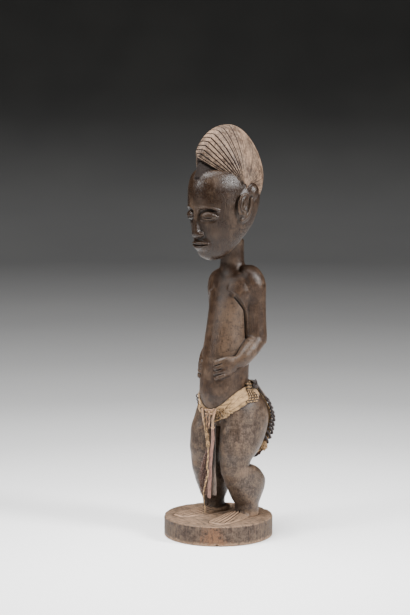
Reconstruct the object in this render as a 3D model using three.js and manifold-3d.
// A carved wooden standing figure on a round base, dressed in a cotton loincloth.
// Millimetres, +Z up. The figure faces -Y and its left side is +X. The origin is
// the middle of the base's underside.

import * as THREE from 'three';
import { mergeVertices } from 'three/addons/utils/BufferGeometryUtils.js';
import Module from 'manifold-3d';

const wasm = await Module();
wasm.setup();

const V = (x, y, z) => new THREE.Vector3(x, y, z);
const deg = THREE.MathUtils.degToRad;
const ACROSS = V(1, 0, 0);
const UP = V(0, 0, 1);

// Base

const BASE_RADIUS = 56;
const BASE_HEIGHT = 20.5;
const BASE_EDGE = 1.2;
const BASE_SIDES = 44;

// Level sections of the standing forms, from the bottom up.
// Each is [height, centre across, centre back, half width, half depth].

const LEFT_SHIN = [
  [19.0, 21.5, 20.0, 11.6, 12.8],
  [31.0, 21.5, 19.8, 11.4, 12.6],
  [38.0, 20.9, 19.0, 12.8, 15.6],
  [47.0, 20.6, 18.8, 15.2, 19.5],
  [56.0, 19.7, 17.6, 16.4, 22.8],
];
const RIGHT_SHIN = [
  [19.0, 21.3, 17.2, 10.6, 11.6],
  [31.0, 21.0, 17.0, 10.6, 11.6],
  [38.0, 20.8, 16.8, 12.2, 14.2],
  [44.0, 20.4, 15.8, 14.0, 16.2],
  [56.0, 20.0, 15.4, 16.4, 21.2],
];
const THIGH = [
  [65.0, 19.4, 12.8, 16.7, 22.8],
  [71.5, 19.4, 6.8, 16.4, 17.8],
  [74.8, 19.4, 3.4, 16.2, 13.8],
  [79.5, 19.4, 4.6, 16.4, 16.0],
  [88.0, 19.6, 9.3, 18.0, 22.8],
  [98.0, 19.6, 13.6, 18.8, 26.8],
  [110.0, 19.6, 17.2, 19.0, 29.4],
];
const LEFT_HIP = [
  [122.0, 18.8, 19.8, 19.4, 29.6],
  [133.0, 17.6, 19.4, 19.2, 26.8],
  [143.0, 15.0, 17.8, 17.8, 23.0],
  [151.0, 11.0, 16.0, 14.0, 18.0],
];
const RIGHT_HIP = [
  [122.0, 18.2, 20.2, 18.6, 27.8],
  [133.0, 16.6, 19.8, 17.4, 24.0],
  [143.0, 14.0, 18.0, 16.0, 20.6],
  [151.0, 11.0, 16.0, 13.0, 17.0],
];
const PELVIS = [
  [113.0, 0.0, 18.0, 7.0, 20.0],
  [119.0, 0.0, 16.0, 12.0, 24.5],
  [128.0, 0.0, 15.0, 16.0, 25.5],
  [140.0, 0.0, 14.0, 20.0, 25.5],
  [152.0, 0.0, 12.0, 20.0, 25.0],
];
const TORSO = [
  [126.0, 0.0, 11.0, 15.0, 14.0],
  [130.0, 0.0, 10.5, 20.4, 20.6],
  [138.0, 0.0, 9.4, 23.2, 25.4],
  [150.0, 0.0, 8.5, 23.8, 26.8],
  [168.0, 0.0, 9.2, 23.6, 26.4],
  [190.0, 0.0, 12.2, 22.2, 24.8],
  [220.0, 0.0, 16.2, 21.0, 22.0],
  [236.0, 0.0, 18.2, 21.4, 20.2],
  [254.0, 0.0, 20.6, 26.0, 18.4],
  [263.0, 0.0, 21.8, 26.0, 17.2],
  [270.0, 0.0, 22.8, 22.0, 14.0],
  [274.0, 0.0, 22.8, 15.0, 10.5],
];
const UPPER_ARM = [
  [192.5, 26.0, 29.6, 6.5, 7.0],
  [198.0, 26.2, 29.4, 9.6, 10.0],
  [206.0, 26.0, 29.2, 10.4, 10.8],
  [221.0, 25.4, 29.0, 10.2, 10.6],
  [237.0, 25.0, 28.6, 10.2, 10.8],
  [249.0, 24.8, 28.2, 10.6, 11.6],
  [258.0, 24.2, 27.6, 11.2, 12.4],
  [265.0, 22.4, 26.8, 11.2, 12.4],
  [270.0, 19.8, 26.0, 9.0, 10.4],
  [273.0, 17.0, 25.4, 5.4, 7.0],
];
const RIGHT_SHOULDER_DROP = 4;
const LEG_SIDES = 16;
const TORSO_SIDES = 20;
const ARM_SIDES = 12;
const NECK_SIDES = 16;
const HEAD_SIDES = 22;
const CORD_SIDES = 8;
const CORD_STEPS = 20;
const NECK = [
  [262.0, 0.0, 22.4, 17.0, 14.5],
  [270.0, 0.0, 22.0, 15.6, 13.6],
  [276.0, 0.0, 21.4, 13.2, 12.6],
  [282.0, 0.0, 21.0, 12.1, 12.0],
  [292.0, 0.0, 20.6, 11.9, 12.2],
  [304.0, 0.0, 19.0, 12.6, 14.0],
];
const HEAD = [
  [284.5, 0.0, -10.0, 7.0, 7.6],
  [288.0, 0.0, -9.0, 12.0, 13.2],
  [294.0, 0.0, -6.2, 16.4, 19.2],
  [302.0, 0.0, -1.8, 20.0, 26.0],
  [311.0, 0.0, 2.0, 23.2, 32.4],
  [321.0, 0.0, 5.4, 26.0, 37.4],
  [333.0, 0.0, 7.6, 28.2, 41.4],
  [345.0, 0.0, 8.2, 29.4, 43.8],
  [356.0, 0.0, 8.6, 29.4, 43.8],
  [367.5, 0.0, 9.2, 27.6, 41.6],
  [375.0, 0.0, 10.6, 24.0, 37.0],
  [378.5, 0.0, 13.0, 18.0, 30.0],
];

// The combed hair is a fan about the top of the ear, thick at the ear and thin at its rim

const FAN = {
  y: 5.4,
  z: 358.7,
  peakRadius: 61.8,
  peakAngle: 80,
  frontDrop: 12,
  frontSpan: 51,
  frontPower: 1.2,
  backDrop: 13,
  backSpan: 80,
  backPower: 1.4,
  from: 141,
  to: -46,
  halfWidth: 30.2,
  rimHalfWidth: 5.4,
  tipHalfWidth: 1.2,
};
const FAN_STATIONS = [0.06, 0.17, 0.42, 0.7, 0.94, 1.0];
const COARSE_LOCKS = { first: 137, last: 89, step: 6, depth: 1.1, halfWidth: 1.1 };
const FINE_LOCKS = { first: 79, last: -36, step: 18, depth: 0.7, halfWidth: 1.6 };
const FAN_UNDERCUT = 3.6;

// Ears, arms, hands and feet, given for the left side

const RIGHT_ARM_TUCK = 0.93;
const EAR = { middle: V(27.6, 13.2, 342.5), radii: V(7.2, 12.6, 22.0), lean: -14 };
const EAR_HOLLOW = { middle: V(35.2, 9.6, 341.0), radii: V(4.6, 7.2, 13.0), lean: -14 };
const FOREARM = [
  { at: V(26.4, 30.5, 200.5), across: 8.4, thick: 8.4 },
  { at: V(26.8, 25.0, 198.4), across: 10.0, thick: 9.8 },
  { at: V(28.2, 16.0, 192.6), across: 9.6, thick: 9.2 },
  { at: V(28.2, 8.5, 186.6), across: 8.4, thick: 7.6 },
  { at: V(26.0, 2.5, 181.8), across: 7.0, thick: 5.4 },
  { at: V(23.4, -1.0, 179.4), across: 5.0, thick: 3.4 },
];
const HAND = {
  wristAngle: 74,
  tipAngle: 23,
  wristHeight: 182,
  tipHeight: 173,
  wristHalf: 6.0,
  palmHalf: 10.6,
  tipHalf: 8.8,
  thickness: 4.4,
  knuckles: 0.6,
  stations: 7,
};
const FINGER = { count: 5, groove: 0.75, depth: 1.5 };
const FOOT = {
  splay: 13,
  heel: V(19.6, 19.0, 0),
  heelBack: 14,
  length: 69,
  heelHalf: 11.6,
  ballHalf: 13.4,
  toeHalf: 11.6,
  ankleTop: 8.6,
  toeTop: 3.2,
  toeSlant: 0.5,
};
const TOE = { count: 5, length: 30, groove: 0.9, depth: 1.4, fan: 0.25 };

// Face: eyes halfway down the head, nose and mouth on the usual thirds below them

const CHIN = 284.5;
const CROWN = 377;
const EYE_HEIGHT = (CHIN + CROWN) / 2;
const NOSE_HEIGHT = (CHIN + EYE_HEIGHT) / 2 + 2;
const MOUTH_HEIGHT = CHIN + (NOSE_HEIGHT - CHIN) * 2 / 3;
const EYE_SPACING = 11.6;
const EYE_HALF_WIDTH = 5.8;
const MOUTH_HALF_WIDTH = 8.0;

// Loincloth

const SKIN_GAP = 0.4;
const NEIGHBOUR_GAP = 0.35;
const CLOTH_THICKNESS = 2.0;
const WAIST_MIDDLE = V(0, 14, 0);
const WAIST_REACH = [17, 48];
// Edges of the cloth round the waist: [degrees from the front towards the left hip, top, bottom]
const BAND = [
  [-178, 157, 147],
  [-120, 155, 146],
  [-85, 153, 143],
  [-60, 150, 139],
  [-40, 146, 133],
  [-28, 142, 126],
  [-18, 136, 121.5],
  [-8, 132, 119],
  [6, 132, 118.6],
  [18, 134, 120.5],
  [34, 140, 124.2],
  [50, 147, 130.4],
  [66, 151.5, 135.4],
  [80, 153.6, 139.2],
  [100, 155, 142.5],
  [125, 156, 145.6],
];
const KNOT = [
  { at: V(-9.0, -13.0, 126.0), across: 4.0, thick: 3.0 },
  { at: V(-4.0, -15.4, 126.4), across: 6.2, thick: 4.6 },
  { at: V(3.0, -16.6, 126.0), across: 7.0, thick: 5.2 },
  { at: V(10.0, -15.6, 126.0), across: 6.0, thick: 4.4 },
  { at: V(15.0, -13.4, 127.0), across: 3.8, thick: 3.0 },
];
const WRAP = { bottomY: 14.5, topY: 23.0, halfWidth: 4.4, bottom: 139, top: 157.5, thickness: 1.7 };
const WRAP_KNOT = { middle: V(26.0, 25.6, 155), radii: V(4.0, 4.8, 4.4), lean: 0 };
const STRIP = { width: 4.6, thickness: 1.4 };
const STRIP_PATH = [
  V(11.6, -21.4, 125), V(11.2, -21.2, 117), V(10.8, -20.6, 104),
  V(8.4, -20.6, 88), V(7.0, -20.4, 70), V(5.4, -20.2, 42),
];
const GREY_WIDTH = 5.0;
const GREY_PATH = [
  V(9.2, -17.2, 119), V(9.2, -17.4, 90), V(9.4, -17.4, 70), V(10.2, -17.4, 58), V(10.6, -17.2, 45),
];
const CORD_DIAMETER = 1.8;
const CORD_PATH = [
  V(1.0, -23.4, 126), V(1.6, -23.2, 119), V(4.0, -22.8, 112), V(5.6, -22.8, 104), V(6.4, -22.8, 96),
  V(6.6, -22.8, 88), V(6.0, -23.0, 80), V(5.0, -23.0, 74), V(7.0, -23.2, 69), V(4.6, -23.2, 62),
  V(2.4, -23.2, 54), V(0.4, -23.2, 46), V(1.4, -23.2, 38), V(2.2, -23.2, 31),
];
const TASSEL = [
  { at: V(4.4, -19.6, 96), across: 1.2, thick: 1.0 },
  { at: V(1.0, -18.6, 86), across: 1.8, thick: 1.6 },
  { at: V(-2.8, -18.0, 77), across: 2.6, thick: 2.2 },
  { at: V(-4.6, -17.8, 68), across: 3.4, thick: 2.6 },
  { at: V(-4.4, -18.0, 56), across: 4.2, thick: 2.8 },
  { at: V(-3.0, -18.0, 46), across: 4.0, thick: 2.8 },
  { at: V(-2.4, -18.0, 41), across: 2.6, thick: 1.8 },
];
// Back flap from its top edge down: [height, half width, set back at the side edge, crown in the middle]
const FLAP = [
  [157, 20.0, 35.8, 5.0],
  [148, 22.4, 41.0, 3.6],
  [138, 25.4, 47.4, 2.2],
  [127, 28.0, 52.6, 1.4],
  [116, 28.8, 54.8, 1.0],
  [104, 28.0, 53.4, 1.4],
  [95, 26.6, 49.6, 1.8],
  [87, 24.6, 43.0, 2.0],
  [82, 22.8, 36.0, 2.0],
];
const FLAP_THICKNESS = 2.6;
const TUFT = { middle: V(23.2, 41.6, 88), radii: V(4.4, 5.4, 5.0), lean: 20 };

// Solids and meshes

function toManifold(geometry) {
  const bare = geometry.index ? geometry.toNonIndexed() : geometry.clone();
  bare.deleteAttribute('normal');
  bare.deleteAttribute('uv');
  const merged = mergeVertices(bare, 1e-4);
  return new wasm.Manifold(new wasm.Mesh({
    numProp: 3,
    vertProperties: Float32Array.from(merged.attributes.position.array),
    triVerts: Uint32Array.from(merged.index.array),
  }));
}

function toGeometry(solid) {
  const mesh = solid.getMesh();
  const geometry = new THREE.BufferGeometry();
  geometry.setAttribute('position', new THREE.BufferAttribute(Float32Array.from(mesh.vertProperties), 3));
  geometry.setIndex(Array.from(mesh.triVerts));
  geometry.computeVertexNormals();
  return geometry;
}

function join(solids) {
  return solids.reduce((sum, next) => sum.add(next));
}

function largest(solid) {
  return solid.decompose().reduce((best, next) => (next.volume() > best.volume() ? next : best));
}

// Closed skin through rings of points, each end closed by a fan about its middle unless the rings loop
function skinRings(rings, loop = false) {
  const sides = rings[0].length;
  const points = rings.flat();
  const faces = [];
  for (let r = 0; r < rings.length - (loop ? 0 : 1); r += 1) {
    const next = (r + 1) % rings.length;
    for (let s = 0; s < sides; s += 1) {
      const t = (s + 1) % sides;
      const [a, b, c, d] = [r * sides + s, r * sides + t, next * sides + t, next * sides + s];
      faces.push(a, b, c, a, c, d);
    }
  }
  const ends = loop ? [] : [[0, true], [rings.length - 1, false]];
  for (const [ring, turned] of ends) {
    const middle = points.length;
    const centre = V(0, 0, 0);
    rings[ring].forEach((point) => centre.add(point));
    points.push(centre.divideScalar(sides));
    for (let s = 0; s < sides; s += 1) {
      const a = ring * sides + s;
      const b = ring * sides + (s + 1) % sides;
      faces.push(middle, turned ? b : a, turned ? a : b);
    }
  }
  const geometry = new THREE.BufferGeometry().setFromPoints(points);
  geometry.setIndex(faces);
  return geometry;
}

// The same skin as a solid, with its faces turned outwards whichever way the rings run
function solidFromRings(rings, loop = false) {
  const solid = toManifold(skinRings(rings, loop));
  return solid.volume() > 0 ? solid : toManifold(skinRings([...rings].reverse(), loop));
}

function ellipse(sides, place) {
  return Array.from({ length: sides }, (_, s) => {
    const angle = 2 * Math.PI * s / sides;
    return place(Math.cos(angle), Math.sin(angle));
  });
}

// A standing form through level sections, swollen all round by grow
function standing(rows, sides, { side = 1, grow = 0, drop = 0 } = {}) {
  const rings = rows.map(([z, x, y, halfWidth, halfDepth]) => ellipse(sides, (c, s) => (
    V(side * x + (halfWidth + grow) * c, y + (halfDepth + grow) * s, z - drop))));
  return solidFromRings(rings);
}

// A bent form through stations, its width held along one direction
function limb(stations, widthDirection, sides, mirror = 1) {
  const rings = stations.map((station, i) => {
    const before = stations[Math.max(i - 1, 0)].at;
    const after = stations[Math.min(i + 1, stations.length - 1)].at;
    const along = after.clone().sub(before).normalize();
    const thick = V(0, 0, 0).crossVectors(along, widthDirection).normalize();
    const across = V(0, 0, 0).crossVectors(thick, along).normalize();
    return ellipse(sides, (c, s) => {
      const point = station.at.clone().addScaledVector(across, station.across * c);
      point.addScaledVector(thick, station.thick * s);
      point.x *= mirror;
      return point;
    });
  });
  return solidFromRings(rings);
}

function ribbon(path, width, thickness) {
  const rings = path.map((at) => [[-1, -1], [1, -1], [1, 1], [-1, 1]].map(([u, v]) => (
    V(at.x + u * width / 2, at.y + v * thickness / 2, at.z))));
  return solidFromRings(rings);
}

function ball({ middle, radii, lean }, mirror, across = 14, down = 10) {
  const geometry = new THREE.SphereGeometry(1, across, down);
  geometry.scale(radii.x, radii.y, radii.z);
  geometry.rotateX(deg(lean));
  geometry.translate(middle.x * mirror, middle.y, middle.z);
  return toManifold(geometry);
}

// Wood

function base() {
  const inner = BASE_RADIUS - BASE_EDGE;
  const profile = [
    [0, 0], [inner, 0], [BASE_RADIUS, BASE_EDGE], [BASE_RADIUS, BASE_HEIGHT - BASE_EDGE],
    [inner, BASE_HEIGHT], [0, BASE_HEIGHT],
  ].map(([x, y]) => new THREE.Vector2(x, y));
  const geometry = new THREE.LatheGeometry(profile, BASE_SIDES);
  geometry.rotateX(Math.PI / 2);
  return toManifold(geometry);
}

// Legs, seat and trunk, swollen all round by the distance the cloth stands off the skin
function hips(grow = 0) {
  return join([
    standing([...LEFT_SHIN, ...THIGH, ...LEFT_HIP], LEG_SIDES, { side: 1, grow }),
    standing([...RIGHT_SHIN, ...THIGH, ...RIGHT_HIP], LEG_SIDES, { side: -1, grow }),
    standing(PELVIS, LEG_SIDES, { grow }),
    standing(TORSO, TORSO_SIDES, { grow }),
  ]);
}

function foot(side) {
  const along = V(Math.sin(deg(FOOT.splay)), -Math.cos(deg(FOOT.splay)), 0);
  const across = V(-along.y, along.x, 0);
  const shares = [0, 0.06, 0.22, 0.5, 0.75, 0.95, 1];
  const rings = shares.map((share) => {
    const reach = -FOOT.heelBack + FOOT.length * share;
    const round = Math.sqrt(Math.max(1 - Math.abs(2 * share - 1) ** 7, 0.02));
    const widest = share < 0.6
      ? THREE.MathUtils.lerp(FOOT.heelHalf, FOOT.ballHalf, share / 0.6)
      : THREE.MathUtils.lerp(FOOT.ballHalf, FOOT.toeHalf, (share - 0.6) / 0.4);
    const fall = THREE.MathUtils.smoothstep(share, 0.15, 0.95);
    const top = THREE.MathUtils.lerp(FOOT.ankleTop, FOOT.toeTop, fall) * round;
    return ellipse(12, (c, s) => {
      const off = widest * round * c;
      const point = FOOT.heel.clone().addScaledVector(along, reach - FOOT.toeSlant * share * off);
      point.addScaledVector(across, off);
      point.z = BASE_HEIGHT - 1.5 + (s > 0 ? (top + 1.5) * s : 3 * s);
      point.x *= side;
      return point;
    });
  });
  let solid = solidFromRings(rings);
  for (let i = 1; i < TOE.count; i += 1) {
    const off = FOOT.toeHalf * 0.92 * (2 * i / TOE.count - 1);
    const tip = FOOT.length - FOOT.heelBack + 3 - FOOT.toeSlant * off;
    const groove = [TOE.length, 0].map((back) => {
      const at = FOOT.heel.clone().addScaledVector(along, tip - back);
      at.addScaledVector(across, off - TOE.fan * back * (1 - off / FOOT.toeHalf) / 2);
      at.z = BASE_HEIGHT + FOOT.toeTop + (back ? 1.8 : 0.2);
      return { at, across: TOE.groove, thick: TOE.depth };
    });
    solid = solid.subtract(limb(groove, across, 4, side));
  }
  return solid;
}

function sectionAt(rows, height) {
  const upper = rows.findIndex(([z]) => z > height);
  const lower = rows[upper - 1];
  const share = (height - lower[0]) / (rows[upper][0] - lower[0]);
  return rows[upper].map((value, k) => THREE.MathUtils.lerp(lower[k], value, share));
}

// A point on the belly at an angle from the front, lifted off its skin
function onBelly(angle, height, lift) {
  const [, , y, halfWidth, halfDepth] = sectionAt(TORSO, height);
  return V((halfWidth + lift) * Math.sin(deg(angle)), y - (halfDepth + lift) * Math.cos(deg(angle)), height);
}

function hand(side) {
  const station = (share, lift, offset) => {
    const angle = THREE.MathUtils.lerp(HAND.wristAngle, HAND.tipAngle, share);
    return onBelly(angle, THREE.MathUtils.lerp(HAND.wristHeight, HAND.tipHeight, share) + offset, lift);
  };
  const stations = Array.from({ length: HAND.stations }, (_, i) => {
    const share = i / (HAND.stations - 1);
    const spread = THREE.MathUtils.smoothstep(share, 0, HAND.knuckles);
    const closing = THREE.MathUtils.smoothstep(share, HAND.knuckles, 1);
    const palm = THREE.MathUtils.lerp(HAND.wristHalf, HAND.palmHalf, spread);
    const across = THREE.MathUtils.lerp(palm, HAND.tipHalf, closing);
    return { at: station(share, 0.6, 0), across, thick: share < 1 ? HAND.thickness : HAND.thickness * 0.7 };
  });
  let solid = limb(stations, UP, 10, side);
  for (let i = 1; i < FINGER.count; i += 1) {
    const offset = HAND.tipHalf * 0.95 * (2 * i / FINGER.count - 1);
    const groove = [0.7, 1.06].map((share) => (
      { at: station(share, HAND.thickness, offset), across: FINGER.groove, thick: FINGER.depth }));
    solid = solid.subtract(limb(groove, UP, 4, side));
  }
  return solid;
}

function ear(side) {
  return ball(EAR, side, 12, 8).subtract(ball(EAR_HOLLOW, side, 9, 6));
}

function fanRadius(angle) {
  const lead = angle - FAN.peakAngle;
  return lead > 0
    ? FAN.peakRadius - FAN.frontDrop * (lead / FAN.frontSpan) ** FAN.frontPower
    : FAN.peakRadius - FAN.backDrop * (-lead / FAN.backSpan) ** FAN.backPower;
}

// Half the thickness of the hair at a share of the way from the ear to the rim
function fanHalfWidth(angle, share) {
  const back = THREE.MathUtils.smoothstep(-angle, -70, 0);
  const front = THREE.MathUtils.smoothstep(angle, FAN.from - 41, FAN.from);
  const tip = THREE.MathUtils.smoothstep(angle, FAN.from - 9, FAN.from);
  const rim = THREE.MathUtils.lerp(FAN.rimHalfWidth, FAN.tipHalfWidth, tip);
  const power = 0.8 - 0.3 * back + 0.3 * front;
  const spread = 1.8 + 0.2 * back - 0.55 * front;
  return rim + (FAN.halfWidth - rim) * (1 - share ** spread) ** power;
}

function fanRing(angle, depth) {
  const radius = fanRadius(angle);
  const half = FAN_STATIONS.map((share, i) => {
    const inside = i === 0 ? 6 : 0;
    const cut = depth * THREE.MathUtils.smoothstep(share, 0.1, 0.5);
    const rounded = i === FAN_STATIONS.length - 1 ? 0.62 : 1;
    const across = fanHalfWidth(angle, share) * rounded - inside - cut;
    const y = FAN.y + radius * share * Math.cos(deg(angle));
    const z = FAN.z + radius * share * Math.sin(deg(angle));
    return V(Math.max(across, 0.8), y, z);
  });
  const mirrored = half.map((point) => V(-point.x, point.y, point.z)).reverse();
  return [...half, ...mirrored];
}

function hair() {
  const stations = [[FAN.from, 0]];
  for (const locks of [COARSE_LOCKS, FINE_LOCKS]) {
    for (let angle = locks.first; angle >= locks.last; angle -= locks.step) {
      stations.push([angle + locks.halfWidth, 0], [angle, locks.depth], [angle - locks.halfWidth, 0]);
    }
  }
  stations.push([FAN.to, 0]);
  return solidFromRings(stations.map(([angle, depth]) => fanRing(angle, depth)));
}

// The set-in neck of wood between the forehead and the overhanging front of the hair
function hairRoot() {
  const rings = [FAN.from - 6, FAN.from + 8, FAN.from + 20].map((angle) => {
    const half = [0.3, 0.55, 0.78, 0.93].map((share) => {
      const across = Math.max(fanHalfWidth(FAN.from, share) - FAN_UNDERCUT, 1.6);
      const reach = fanRadius(FAN.from) * share * (angle > FAN.from + 10 ? 0.86 : 1);
      return V(across, FAN.y + reach * Math.cos(deg(angle)), FAN.z + reach * Math.sin(deg(angle)));
    });
    return [...half, ...half.map((point) => V(-point.x, point.y, point.z)).reverse()];
  });
  return solidFromRings(rings);
}

// A point on the plain front of the head, brought forward by the given distance
function onFace(x, height, forward) {
  const [, , y, halfWidth, halfDepth] = sectionAt(HEAD, height);
  return V(x, y - halfDepth * Math.sqrt(1 - (x / halfWidth) ** 2) - forward, height);
}

function face() {
  const nose = [
    [EYE_HEIGHT + 5, 2.4, 2.0, -0.6],
    [EYE_HEIGHT - 3, 2.8, 3.0, 0.2],
    [(EYE_HEIGHT + NOSE_HEIGHT) / 2, 3.6, 4.0, 1.0],
    [NOSE_HEIGHT + 3, 5.8, 5.0, 1.8],
    [NOSE_HEIGHT, 5.2, 3.8, 0.8],
  ].map(([z, across, thick, forward]) => ({ at: onFace(0, z, forward), across, thick }));
  const lip = (z, halfHeight) => [-1, -0.5, 0.5, 1].map((u) => ({
    at: onFace(MOUTH_HALF_WIDTH * u, z, -0.6),
    across: Math.abs(u) === 1 ? 0.5 : halfHeight,
    thick: Math.abs(u) === 1 ? 0.8 : 2.4,
  }));
  const eye = [-1, -0.5, 0.5, 1].map((u) => ({
    at: onFace(EYE_SPACING + EYE_HALF_WIDTH * u, EYE_HEIGHT, -1.0),
    across: Math.abs(u) === 1 ? 0.5 : 2.8,
    thick: Math.abs(u) === 1 ? 0.8 : 2.0,
  }));
  return join([
    limb(nose, ACROSS, 10),
    limb(lip(MOUTH_HEIGHT + 1.9, 1.7), UP, 8),
    limb(lip(MOUTH_HEIGHT - 1.9, 1.9), UP, 8),
    limb(eye, UP, 8, 1),
    limb(eye, UP, 8, -1),
  ]);
}

function bothSides(make) {
  return [make(1), make(-1)];
}

const figure = join([
  base(),
  ...bothSides(foot),
  hips(),
  standing(UPPER_ARM, ARM_SIDES, { side: 1 }),
  standing(UPPER_ARM, ARM_SIDES, { side: -1, drop: RIGHT_SHOULDER_DROP }),
  limb(FOREARM, UP, ARM_SIDES, 1),
  limb(FOREARM, UP, ARM_SIDES, -RIGHT_ARM_TUCK),
  ...bothSides(hand),
  standing(NECK, NECK_SIDES),
  standing(HEAD, HEAD_SIDES),
  face(),
  ...bothSides(ear),
  hair(),
  hairRoot(),
]);

// Cloth and threads

// A slab along X whose side view is the given outline of [y, z] points
function slab(outline, from, to) {
  const shape = new THREE.Shape(outline.map(([y, z]) => new THREE.Vector2(y, z)));
  const geometry = new THREE.ExtrudeGeometry(shape, { depth: to - from, bevelEnabled: false });
  geometry.applyMatrix4(new THREE.Matrix4().makeBasis(V(0, 1, 0), UP, ACROSS));
  geometry.translate(from, 0, 0);
  return toManifold(geometry);
}

// A wide ring about the waist that holds the cloth between its two edges
function bandRegion() {
  const rings = BAND.map(([angle, top, bottom]) => {
    const outwards = V(Math.sin(deg(angle)), -Math.cos(deg(angle)), 0);
    const [near, far] = WAIST_REACH;
    return [[near, bottom], [far, bottom], [far, top], [near, top]].map(([radius, z]) => (
      WAIST_MIDDLE.clone().addScaledVector(outwards, radius).setZ(z)));
  });
  return solidFromRings(rings, true);
}

const hipsInside = hips(SKIN_GAP);
const hipsOutside = hips(SKIN_GAP + CLOTH_THICKNESS);
const hipsClear = hips(SKIN_GAP + CLOTH_THICKNESS + NEIGHBOUR_GAP);

const waistCloth = largest(
  hipsOutside.intersect(bandRegion()).add(limb(KNOT, UP, 8)).subtract(hipsInside),
);

function wrapRegion() {
  const { bottomY, topY, halfWidth, bottom, top } = WRAP;
  const outline = [
    [bottomY - halfWidth, bottom], [bottomY + halfWidth, bottom],
    [topY + halfWidth, top], [topY - halfWidth, top],
  ];
  return slab(outline, 5, 60);
}

const hipWrap = largest(
  hips(SKIN_GAP + CLOTH_THICKNESS + NEIGHBOUR_GAP + WRAP.thickness)
    .intersect(wrapRegion())
    .add(ball(WRAP_KNOT, 1, 8, 5))
    .subtract(hipsClear),
);

function backFlap() {
  const columns = 6;
  const rings = FLAP.map(([z, halfWidth, setBack, crown]) => {
    const outer = Array.from({ length: columns + 1 }, (_, i) => {
      const u = 2 * i / columns - 1;
      return V(halfWidth * u, setBack + crown * (1 - u * u), z);
    });
    const inner = outer.map((point) => V(point.x, point.y - FLAP_THICKNESS, point.z)).reverse();
    return [...outer, ...inner];
  });
  return largest(solidFromRings(rings).subtract(hipsClear)).add(ball(TUFT, 1, 10, 6));
}

function cord() {
  const curve = new THREE.CatmullRomCurve3(CORD_PATH);
  const section = new THREE.Shape(ellipse(CORD_SIDES, (c, s) => (
    new THREE.Vector2(c * CORD_DIAMETER / 2, s * CORD_DIAMETER / 2))));
  return new THREE.ExtrudeGeometry(section, { steps: CORD_STEPS, extrudePath: curve, bevelEnabled: false });
}

// Nodes

const FINISHES = {
  wood: { color: 0x4b3d31, roughness: 0.45 },
  cream: { color: 0xd8c09c, roughness: 0.9 },
  pink: { color: 0xb79a8c, roughness: 0.92 },
  grey: { color: 0x7b6c60, roughness: 0.92 },
  twist: { color: 0x6b5a50, roughness: 0.9 },
  dark: { color: 0x3a2620, roughness: 0.9 },
};

const group = new THREE.Group();

function place(name, solid, finish) {
  const geometry = solid.isBufferGeometry ? solid : toGeometry(solid);
  const material = new THREE.MeshStandardMaterial({ ...FINISHES[finish], metalness: 0 });
  const mesh = new THREE.Mesh(geometry, material);
  mesh.name = name;
  group.add(mesh);
}

place('figure', figure, 'wood');
place('waist_cloth', waistCloth, 'cream');
place('hip_wrap', hipWrap, 'twist');
place('front_strip', ribbon(STRIP_PATH, STRIP.width, STRIP.thickness), 'pink');
place('grey_strip', ribbon(GREY_PATH, GREY_WIDTH, STRIP.thickness), 'grey');
place('front_cord', cord(), 'cream');
place('thread_tassel', limb(TASSEL, ACROSS, 8), 'dark');
place('back_flap', backFlap(), 'dark');

export default group;
